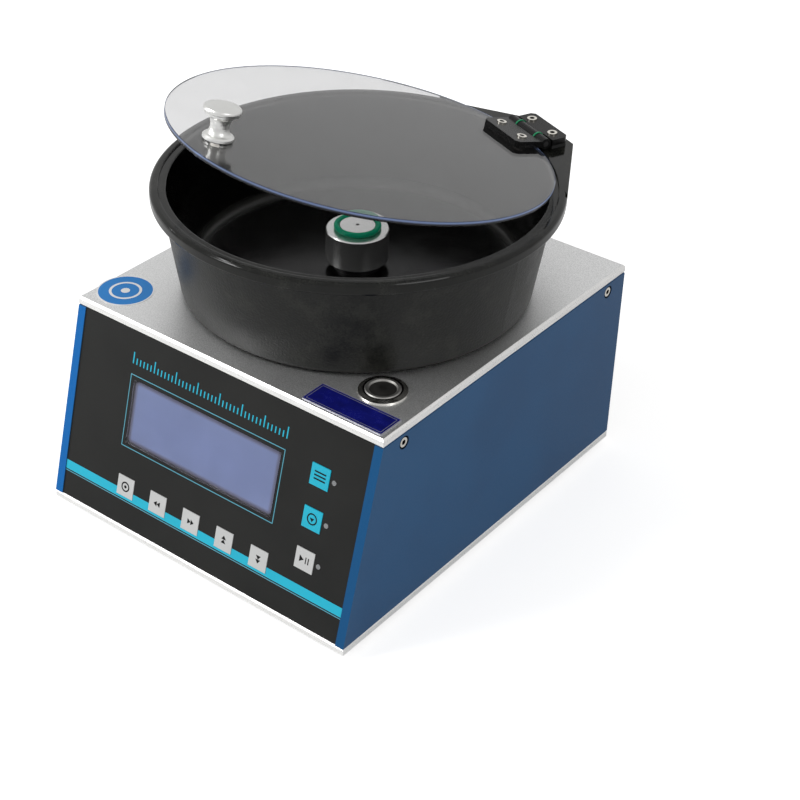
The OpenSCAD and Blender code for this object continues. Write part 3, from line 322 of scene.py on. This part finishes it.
# Front panel: dark membrane with a fine pebbled face
f = Finish("panel_membrane", (0.013, 0.013, 0.0115), 0.42, 0.0, Specular_IOR_Level=0.22)
pebble = f.noise(0.0005, 2.0)
cloud = f.noise(0.035, 3.0)
f.paint(f.mix(f.step(cloud, 0.3, 0.72), (0.0095, 0.0097, 0.0090), (0.0130, 0.0132, 0.0122)))
f.roughen(f.step(f.share(cloud, 0.5, pebble), 0.38, 0.62, 0.36, 0.50))
f.bump(pebble, 0.00002, 0.5)
dress(f, "front_panel")
dress(plain("rear_black", (0.016, 0.016, 0.016), 0.42, grain=0.0007, depth=0.00003),
      "rear_panel")

# Screws whose hex sockets are painted dark as painted shade, and small metal and rubber pieces
SCREW = (0.90, 0.865, 0.79)
SOCKET_SHADE = (0.008, 0.008, 0.008)


# Paints each hex socket near black: painted shade in the hollow
def paint_socket_shade(f, distance):
    f.paint(f.mix(f.below(distance, *SOCKET_SHADE_EDGE), SCREW, SOCKET_SHADE))


f = plain("side_screw_steel", SCREW, 0.16, 1.0, grain=0.0003)
paint_socket_shade(f, off_side_screws(f))
dress(f, "side_screws")

# The lid's upward normal as it stands in the frame, and the direction in which the two
# screws of a hinge leaf lie apart
LID_UP = (0.0796, 0.1875, 0.9790)
HINGE_AZIMUTH = math.radians(67)
HINGE_ALONG = Vector((-math.sin(HINGE_AZIMUTH), math.cos(HINGE_AZIMUTH), 0))
for name, axis in (("hinge_fixed_screws", (0, 0, 1)), ("hinge_lid_screws", LID_UP)):
    f = plain(name + "_steel", SCREW, 0.18, 1.0, grain=0.0003)
    places = [v.co for v in NODES[name].data.vertices]
    holes = []
    for side in (-1, 1):
        one = [p for p in places if side * p.dot(HINGE_ALONG) > 0]
        holes.append(f.off_axis(sum(one, Vector()) / len(one), axis))
    paint_socket_shade(f, f.math("MINIMUM", *holes))
    dress(f, name)
dress(plain("screw_steel", SCREW, 0.18, 1.0, grain=0.0003),
      "base_screws", "bowl_screws", "motor_screws", "cap_screws", "knob_screw", "hinge_lid_nuts")
dress(plain("pin_steel", (0.60, 0.59, 0.57), 0.22, 1.0), "drive_pin")
dress(plain("pin_black", (0.02, 0.02, 0.02), 0.30), "hinge_pin")
dress(plain("foot_rubber", (0.012, 0.012, 0.012), 0.75, grain=0.0006, depth=0.00004),
      "feet", "bowl_gasket", "hinge_shim")
dress(plain("nut_steel", (0.58, 0.57, 0.55), 0.32, 1.0), "button_nut")

# Places on the case, in millimetres. The front slopes by SLOPE_RUN over SLOPE_RISE between
# the plates, and the panel's face lies PANEL_SET_BACK behind the plates' slanted line.
DECK_Z = 116.5
SLOPE_RUN, SLOPE_RISE = 28.0, 103.5
SLOPE_FOOT = Vector((0, -133, 8))
PANEL_SET_BACK = 0.5
TILT = math.pi / 2 - math.atan(SLOPE_RUN / SLOPE_RISE)
ACROSS = Vector((1, 0, 0))
UPWARD = Vector((0, math.cos(TILT), math.sin(TILT)))
OUTWARD = Vector((0, -math.sin(TILT), math.cos(TILT)))
PANEL_ORIGIN = SLOPE_FOOT - PANEL_SET_BACK * OUTWARD


def on_panel(x, s, n):
    """The point x across, s up the slope and n out of the panel's face."""
    return (PANEL_ORIGIN + x * ACROSS + s * UPWARD + n * OUTWARD) * MM


def on_deck(x, y, n):
    return Vector((x, y, DECK_Z + n)) * MM


# Display: clear pane over a pale violet screen with a soft dark border
dress(Finish("window_clear", (0.97, 0.97, 0.98), 0.0, Transmission_Weight=1.0, IOR=1.4),
      "display_window")

SCREEN_X, SCREEN_S = (-56.0, 43.2), (46.2, 81.7)
SCREEN_CORNER = 0.0035
f = Finish("display_violet", (0.2, 0.22, 0.4), 0.35, 0.0, Specular_IOR_Level=0.2)
up_panel = f.sub(f.dot(f.co, tuple(UPWARD)), PANEL_ORIGIN.dot(UPWARD) * MM)
squares = []
for value, (low, high) in ((f.xyz()[0], SCREEN_X), (up_panel, SCREEN_S)):
    off_middle = f.math("ABSOLUTE", f.sub(value, (low + high) / 2 * MM))
    past = f.sub(off_middle, (high - low) / 2 * MM - SCREEN_CORNER)
    squares.append(f.math("POWER", f.math("MAXIMUM", past, 0.0), 2.0))
border = f.math("SQRT", f.add(*squares))
cloud = f.noise(0.03, 3.0)
lit = f.mix(f.step(cloud, 0.3, 0.7), (0.230, 0.280, 0.475), (0.262, 0.318, 0.530))
lit = f.mix(f.step(border, 0.0002, 0.0026), lit, (0.15, 0.145, 0.22))
lit = f.mix(f.step(border, 0.0022, 0.0034), lit, (0.03, 0.03, 0.035))
f.paint(lit)
f.glow(lit, 0.30)
f.roughen(f.step(cloud, 0.3, 0.7, 0.3, 0.45))
dress(f, "display_module")

# Boards, switches, lamps and keys
dress(plain("board_green", (0.02, 0.11, 0.045), 0.38, vary=0.2, size=0.008),
      "key_board", "control_board")
dress(plain("switch_black", (0.03, 0.03, 0.03), 0.4), "key_switches")
dress(plain("lamp_clear", (0.36, 0.37, 0.38), 0.18, Transmission_Weight=0.35),
      "indicator_lamps")
dress(plain("key_white", (0.57, 0.575, 0.57), 0.38, vary=0.02, grain=0.0005),
      "key_run", "key_set", "key_left", "key_right", "key_up", "key_down")
dress(plain("key_cyan", (0.0, 0.45, 0.62), 0.38, vary=0.03, grain=0.0005),
      "key_mode", "key_pump")

# Push button: polished bezel whose inner groove is painted dark as painted shade, and a cap
# whose ring is grey about a dark middle
BUTTON_AT = (74.6, -73.0)
BEZEL = (0.76, 0.74, 0.70)
f = turned("bezel_metal", BEZEL, 0.13, *BUTTON_AT)
# Inside 9.7 mm the bezel is painted near black: painted shade in the groove about the cap
f.paint(f.mix(f.step(f.r, 0.0097, 0.0101), (0.03, 0.03, 0.03), BEZEL))
dress(f, "button_bezel")
f = turned("cap_metal", (0.66, 0.65, 0.62), 0.50, *BUTTON_AT, pitch=0.0004, depth=0.00002)
f.paint(f.mix(f.step(f.r, 0.0064, 0.0068), (0.085, 0.083, 0.078), (0.33, 0.325, 0.31)))
dress(f, "button_cap")

# Bowl: pebbled dark coat outside, smooth and darker inside, glossy lip, and a painted highlight
# along the fillet at the foot of the inner wall. The inner wall's radius is INNER_FOOT_R at the
# floor and grows by INNER_FLARE for each metre of height.
BOWL_FLOOR_Z = 0.1261
INNER_FOOT_R = 0.0878
INNER_FLARE = 10.8 / 48.9
f = Finish("bowl_coat", (0.02, 0.02, 0.018), 0.4, 0.0, Specular_IOR_Level=0.30)
r, z = f.off_axis((0, 0, 0), (0, 0, 1)), f.xyz()[2]
inner_r = f.add(f.mul(f.sub(z, BOWL_FLOOR_Z), INNER_FLARE), INNER_FOOT_R)
inside = f.mul(f.below(f.sub(r, inner_r), 0.0008, 0.0018), f.below(z, 0.1738, 0.1752))
lip = f.step(z, 0.1665, 0.1690)
# A lighter band on the fillet at the foot of the inner wall: a painted highlight
fillet_highlight = f.mul(f.step(r, 0.0800, 0.0835), f.below(z, 0.1285, 0.1325))
cells = f.cells(0.0012)
fine = f.noise(0.0010, 3.0, rough=0.7)
cloud = f.noise(0.014, 5.0, rough=0.62)
outer = f.mix(f.step(fine, 0.3, 0.75), (0.0020, 0.0022, 0.0016), (0.017, 0.0178, 0.0145))
outer = f.mix(f.step(cloud, 0.36, 0.62, 0.75, 0.0), outer, (0.0022, 0.0024, 0.0018))
outer = f.mix(f.step(cloud, 0.50, 0.72, 0.0, 0.55), outer, (0.026, 0.0265, 0.0225))
inner = f.mix(fillet_highlight, (0.0022, 0.0022, 0.0020), (0.034, 0.0343, 0.0320))
f.paint(f.mix(inside, outer, inner))
coat_rough = f.step(f.share(fine, 0.5, cloud), 0.35, 0.65, 0.34, 0.48)
outer_rough = f.blend(lip, f.step(cloud, 0.3, 0.7, 0.09, 0.13), coat_rough)
f.roughen(f.blend(inside, f.step(cloud, 0.3, 0.7, 0.17, 0.25), outer_rough))
coarse = f.sub(f.sub(1.0, inside), f.mul(lip, 0.96), clamp=True)
f.bump(f.mul(f.add(cells, fine), coarse), 0.00012, 0.6)
dress(f, "bowl")

# Bush and hinge
dress(plain("bush_black", (0.012, 0.012, 0.012), 0.3), "spindle_bush")
dress(plain("hinge_black", (0.003, 0.003, 0.003), 0.26, grain=0.0008, depth=0.00003,
            Specular_IOR_Level=0.25), "hinge_fixed_leaf", "hinge_lid_leaf")
dress(plain("washer_green", (0.0, 0.26, 0.10), 0.35), "hinge_washers")

# Lid: clear acrylic, a little smoky; its cut edge is painted pale blue with a painted glow along
# its top, standing in for light piped through the sheet
f = Finish("lid_acrylic", (0.765, 0.765, 0.77), 0.0, 0.0, Transmission_Weight=1.0, IOR=1.43)
rim = f.below(f.math("ABSOLUTE", f.dot(f.normal, LID_UP)), 0.3, 0.9)
haze = f.noise(0.02, 3.0)
clear = f.mix(f.step(haze, 0.3, 0.7), (0.755, 0.755, 0.76), (0.775, 0.775, 0.78))
# The cut edge's pale blue is a painted highlight
f.paint(f.mix(rim, clear, (0.50, 0.58, 0.74)))
lid_top = max(v.co.dot(Vector(LID_UP)) for v in NODES["lid_disc"].data.vertices)
glow_band = f.step(f.dot(f.co, LID_UP), lid_top - 0.0016, lid_top - 0.0006)
# A painted glow on the cut edge near the top: painted light, not a lamp
f.glow(f.mix(f.mul(rim, glow_band), (0, 0, 0), (0.13, 0.18, 0.33)), 1.0)
f.roughen(f.add(f.step(haze, 0.3, 0.8, 0.0, 0.02), f.mul(rim, 0.25)))
dress(f, "lid_disc")

# Knob: satin aluminium; its axis leans with the lid, so it has no turning marks
dress(plain("knob_metal", (0.84, 0.84, 0.82), 0.33, 1.0, vary=0.02, grain=0.0005,
            depth=0.000002, rough_by=0.02), "lid_knob")

# Chuck, seal and spindle
f = turned("chuck_metal", (0.80, 0.80, 0.79), 0.22, depth=0.0000001, vary=0.01, spread=0.03)
f.b.inputs["Metallic"].default_value = 0.93
dress(f, "chuck")
dress(plain("seal_green", (0.0, 0.28, 0.145), 0.30, vary=0.05, grain=0.0004,
            Specular_IOR_Level=0.14), "chuck_seal_ring")
dress(turned("shaft_steel", (0.60, 0.59, 0.57), 0.2), "spindle_shaft", "shaft_bearings")

# Motor, vacuum line and supply, inside the case
dress(plain("motor_metal", (0.55, 0.55, 0.55), 0.4, 1.0), "motor_housing")
dress(plain("cap_alloy", (0.50, 0.50, 0.51), 0.42, 1.0), "motor_end_cap", "rotary_union")
dress(plain("winding_copper", (0.72, 0.28, 0.12), 0.3, 1.0, grain=0.0006,
            stretch=(1, 1, 0.2)), "motor_stator")
dress(plain("rotor_dark", (0.10, 0.10, 0.11), 0.35, 1.0), "motor_rotor")
dress(plain("fitting_brass", (0.66, 0.46, 0.17), 0.25, 1.0), "union_fitting", "rear_barb")
dress(plain("tube_white", (0.72, 0.73, 0.72), 0.3, Transmission_Weight=0.2), "vacuum_tubes")
dress(plain("valve_grey", (0.10, 0.17, 0.27), 0.4), "solenoid_valve")
dress(plain("supply_metal", (0.60, 0.61, 0.62), 0.32, 1.0, stretch=(1, 0.05, 1)),
      "power_supply")
dress(plain("inlet_black", (0.014, 0.014, 0.014), 0.36), "power_inlet")


# ---------------------------------------------------------------- printed marks and plates
def slab(name, shapes, span, place, finish, body="base"):
    """Flat shapes from span's low to its high, each a closed outline or an (outer, inner)
    pair of equal length."""
    low, high = span
    verts, faces = [], []

    def ring(points, n):
        first = len(verts)
        verts.extend(place(px, py, n) for px, py in points)
        return list(range(first, len(verts)))

    def wall(a, b):
        for i in range(len(a)):
            j = (i + 1) % len(a)
            faces.append((a[i], a[j], b[j], b[i]))

    for shape in shapes:
        if isinstance(shape[0][0], (tuple, list)):
            outer, inner = shape
            o0, o1 = ring(outer, low), ring(outer, high)
            i0, i1 = ring(inner, low), ring(inner, high)
            wall(o0, o1)
            wall(i1, i0)
            wall(o1, i1)
            wall(i0, o0)
        else:
            a, b = ring(shape, low), ring(shape, high)
            wall(a, b)
            faces.append(tuple(reversed(a)))
            faces.append(tuple(b))
    mesh = bpy.data.meshes.new(name)
    mesh.from_pydata([tuple(v) for v in verts], [], faces)
    mesh.validate()
    mesh.update()
    mesh.materials.append(finish.m)
    ob = bpy.data.objects.new(name, mesh)
    SCENE.collection.objects.link(ob)
    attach(ob, body)


def rect(x0, y0, x1, y1):
    return [(x0, y0), (x1, y0), (x1, y1), (x0, y1)]


def rounded(x0, y0, x1, y1, r, n=6):
    pts = []
    corners = ((x1 - r, y0 + r, -90), (x1 - r, y1 - r, 0),
               (x0 + r, y1 - r, 90), (x0 + r, y0 + r, 180))
    for cx, cy, a0 in corners:
        for i in range(n + 1):
            a = math.radians(a0 + 90 * i / n)
            pts.append((cx + r * math.cos(a), cy + r * math.sin(a)))
    return pts


def circle(cx, cy, r, n=96):
    turns = [2 * math.pi * i / n for i in range(n)]
    return [(cx + r * math.cos(a), cy + r * math.sin(a)) for a in turns]


def turn(points, deg):
    c, s = math.cos(math.radians(deg)), math.sin(math.radians(deg))
    return [(c * px - s * py, s * px + c * py) for px, py in points]


ink_cyan = plain("ink_cyan", (0.0, 0.46, 0.64), 0.40, vary=0.03, grain=0.0005)
ink_pale = plain("ink_pale", (0.10, 0.42, 0.55), 0.40, vary=0.03)
ink_black = plain("ink_black", (0.006, 0.006, 0.006), 0.5, vary=0.05, Specular_IOR_Level=0.15)

# Height of the ink over the panel's face
INK = (0.0, 0.05)
slab("display_frame_line", [(rect(-58.4, 44.0, 45.4, 84.3), rect(-58.0, 44.4, 45.0, 83.9))],
     INK, on_panel, ink_pale)

# Lower left corners of the keys, across and up the panel, and half a key's width
ROW_X, ROW_PITCH, ROW_S = -57.0, 23, 16.7
COLUMN_X = 62.4
HALF_KEY = 5.65
ROW = [ROW_X + ROW_PITCH * i for i in range(5)]
KEYS = {"key_set": (ROW[0], ROW_S), "key_left": (ROW[1], ROW_S), "key_right": (ROW[2], ROW_S),
        "key_up": (ROW[3], ROW_S), "key_down": (ROW[4], ROW_S),
        "key_mode": (COLUMN_X, 73.9), "key_pump": (COLUMN_X, 51.1), "key_run": (COLUMN_X, 28.8)}

# The stripe stops at each key of the row and runs on below it
PANEL_END = 94.9
STRIPE_LOW, STRIPE_HIGH, STRIPE_UNDER_KEYS = 15.2, 20.3, 16.55
KEY_HOLE = (-0.13, 11.43)
gaps = [(k + KEY_HOLE[0], k + KEY_HOLE[1]) for k in ROW]
ends = [-PANEL_END] + [v for gap in gaps for v in gap] + [PANEL_END]
stripe = [rect(a, STRIPE_LOW, b, STRIPE_HIGH) for a, b in zip(ends[0::2], ends[1::2])]
stripe += [rect(a, STRIPE_LOW, b, STRIPE_UNDER_KEYS) for a, b in gaps]
slab("panel_stripe", stripe, INK, on_panel, ink_cyan)
slab("panel_thin_line", [rect(-PANEL_END, 14.1, PANEL_END, 14.5)], INK, on_panel, ink_pale)

# A plain scale above the display: every sixth mark is long
TICKS, TICK_X, TICK_PITCH, HALF_TICK = 43, -58.0, 2.45, 0.35
TICK_LOW, TICK_SHORT, TICK_LONG = 90.0, 93.4, 96.2
ticks = []
for i in range(TICKS):
    tx = TICK_X + TICK_PITCH * i
    ticks.append(rect(tx - HALF_TICK, TICK_LOW, tx + HALF_TICK, TICK_SHORT if i % 6 else TICK_LONG))
slab("panel_scale_marks", ticks, INK, on_panel, ink_cyan)

# Plain signs on the keys, drawn about each key's middle and then enlarged
SIGN_SCALE = 1.35
KEY_INK = (0.29, 0.33)
arrow = [(-1.35, 0.0), (0.25, 1.15), (0.25, -1.15)]
double = [[(px - 0.55, py) for px, py in arrow], [(px + 1.05, py) for px, py in arrow]]
SIGNS = {
    "key_left": double,
    "key_right": [turn(p, 180) for p in double],
    "key_up": [turn(p, -90) for p in double],
    "key_down": [turn(p, 90) for p in double],
    "key_run": [[(-2.3, 1.35), (-2.3, -1.35), (-0.3, 0.0)],
                rect(0.4, -1.3, 0.85, 1.3), rect(1.55, -1.3, 2.0, 1.3)],
    "key_set": [(circle(0, 0, 2.1, 32), circle(0, 0, 1.5, 32)), circle(0, 0, 0.65, 24)],
    "key_mode": [rect(-2.6, 1.1, 2.6, 1.7), rect(-2.6, -0.3, 2.6, 0.3),
                 rect(-2.6, -1.7, 2.6, -1.1)],
    "key_pump": [(circle(0, 0, 2.3, 32), circle(0, 0, 1.75, 32)),
                 [(-0.95, 0.35), (0.95, 0.35), (0.0, -1.15)]],
}
for key, (key_x, key_s) in KEYS.items():
    mx, ms = key_x + HALF_KEY, key_s + HALF_KEY

    def on_key(px, py, n):
        return on_panel(mx + SIGN_SCALE * px, ms + SIGN_SCALE * py, n)

    slab(key + "_mark", SIGNS[key], KEY_INK, on_key, ink_black, key.removeprefix("key_") + "_key")

# Bare name plate on the deck: navy, with a raised rim and a fine line inside it
PLATE = (48.6, -102.5, 96.6, -86.6)
plate_navy = plain("plate_navy", (0.004, 0.006, 0.13), 0.22, vary=0.22, size=0.006)
plate_rim = plain("plate_rim", (0.34, 0.34, 0.40), 0.30, 0.4)


def plate_outline(inset, r):
    x0, y0, x1, y1 = PLATE
    return rounded(x0 + inset, y0 + inset, x1 - inset, y1 - inset, r)


slab("name_plate_rim", [(plate_outline(0, 0.8), plate_outline(0.45, 0.5))],
     (0.0, 0.42), on_deck, plate_rim)
slab("name_plate", [plate_outline(0.3, 0.6)], (0.0, 0.36), on_deck, plate_navy)
slab("name_plate_line", [(plate_outline(1.5, 0.4), plate_outline(1.75, 0.3))],
     (0.34, 0.38), on_deck, plate_rim)

# Plain round sticker: blue with a white edge, ring and dot
STICKER_AT = (-85.2, -85.5)
vinyl_blue = plain("vinyl_blue", (0.02, 0.215, 0.59), 0.36, vary=0.03, Specular_IOR_Level=0.2)
vinyl_white = plain("vinyl_white", (0.82, 0.82, 0.82), 0.34, vary=0.02)
slab("round_sticker_edge", [(circle(*STICKER_AT, 15.0), circle(*STICKER_AT, 14.2))],
     (0.0, 0.14), on_deck, vinyl_white)
slab("round_sticker", [circle(*STICKER_AT, 14.3)], (0.0, 0.12), on_deck, vinyl_blue)
slab("round_sticker_ring",
     [(circle(*STICKER_AT, 8.6, 64), circle(*STICKER_AT, 7.2, 64)), circle(*STICKER_AT, 2.4, 48)],
     (0.11, 0.15), on_deck, vinyl_white)

# ---------------------------------------------------------------- stage and light
# How bright the surroundings and the floor's own glow are to each kind of ray; a later pair
# wins over an earlier one, since a ray through clear matter counts as glossy too
WORLD_ELSE = 0.50
WORLD_SEEN = (("Is Glossy Ray", 0.70), ("Is Transmission Ray", 0.75), ("Is Camera Ray", 1.0))
FLOOR_ELSE = 0.0
FLOOR_SEEN = (("Is Glossy Ray", 0.06), ("Is Transmission Ray", 0.35), ("Is Camera Ray", 0.60))
FLOOR_WHITE = (0.80, 0.80, 0.80, 1)
FLOOR_HALF = 12
WHITE = (1, 1, 1, 1)


def ray_level(tree, other, levels):
    light_path = tree.nodes.new("ShaderNodeLightPath")
    value = None
    for kind, level in levels:
        n = tree.nodes.new("ShaderNodeMix")
        tree.links.new(light_path.outputs[kind], n.inputs[0])
        n.inputs[2].default_value = other
        if value:
            tree.links.new(value, n.inputs[2])
        n.inputs[3].default_value = level
        value = n.outputs[0]
    return value


world = bpy.data.worlds.new("world")
SCENE.world = world
world.use_nodes = True
wt = world.node_tree
wt.nodes.clear()
world_out = wt.nodes.new("ShaderNodeOutputWorld")
background = wt.nodes.new("ShaderNodeBackground")
background.inputs["Color"].default_value = WHITE
wt.links.new(background.outputs[0], world_out.inputs[0])
wt.links.new(ray_level(wt, WORLD_ELSE, WORLD_SEEN), background.inputs["Strength"])

floor_white = bpy.data.materials.new("floor_white")
floor_white.use_nodes = True
ft = floor_white.node_tree
ft.nodes.clear()
floor_out = ft.nodes.new("ShaderNodeOutputMaterial")
diffuse = ft.nodes.new("ShaderNodeBsdfDiffuse")
diffuse.inputs["Color"].default_value = FLOOR_WHITE
emission = ft.nodes.new("ShaderNodeEmission")
emission.inputs["Color"].default_value = WHITE
ft.links.new(ray_level(ft, FLOOR_ELSE, FLOOR_SEEN), emission.inputs["Strength"])
both = ft.nodes.new("ShaderNodeAddShader")
ft.links.new(diffuse.outputs[0], both.inputs[0])
ft.links.new(emission.outputs[0], both.inputs[1])
ft.links.new(both.outputs[0], floor_out.inputs[0])
floor_mesh = bpy.data.meshes.new("floor")
corners = rect(-FLOOR_HALF, -FLOOR_HALF, FLOOR_HALF, FLOOR_HALF)
floor_mesh.from_pydata([(x, y, 0) for x, y in corners], [], [(0, 1, 2, 3)])
floor_mesh.materials.append(floor_white)
floor = bpy.data.objects.new("floor", floor_mesh)
SCENE.collection.objects.link(floor)

# Each lamp's name, place, width and height in metres, and power in watts
LAMPS = (
    ("key_light", (-1.1, -1.2, 1.5), (0.8, 0.8), 21),
    ("fill_light", (1.6, -0.4, 1.2), (0.8, 0.8), 5),
    ("low_light", (-1.35, -0.9, 0.46), (0.9, 0.10), 4.0),
)
LAMPS_AIM = Vector((0, 0, 0.15))

# The clear lid mirrors the white world alone, so no lamp stands as a white patch in it
unlit = bpy.data.collections.new("unlit_by_lamps")
unlit.objects.link(NODES["lid_disc"])
unlit.collection_objects[0].light_linking.link_state = "EXCLUDE"
for name, at, size, power in LAMPS:
    lamp = bpy.data.lights.new(name, "AREA")
    lamp.shape = "RECTANGLE"
    lamp.size, lamp.size_y = size
    lamp.energy = power
    holder = bpy.data.objects.new(name, lamp)
    SCENE.collection.objects.link(holder)
    holder.location = at
    holder.rotation_mode = "QUATERNION"
    holder.rotation_quaternion = (LAMPS_AIM - Vector(at)).to_track_quat("-Z", "Y")
    holder.light_linking.receiver_collection = unlit

SCENE.view_settings.view_transform = "Standard"
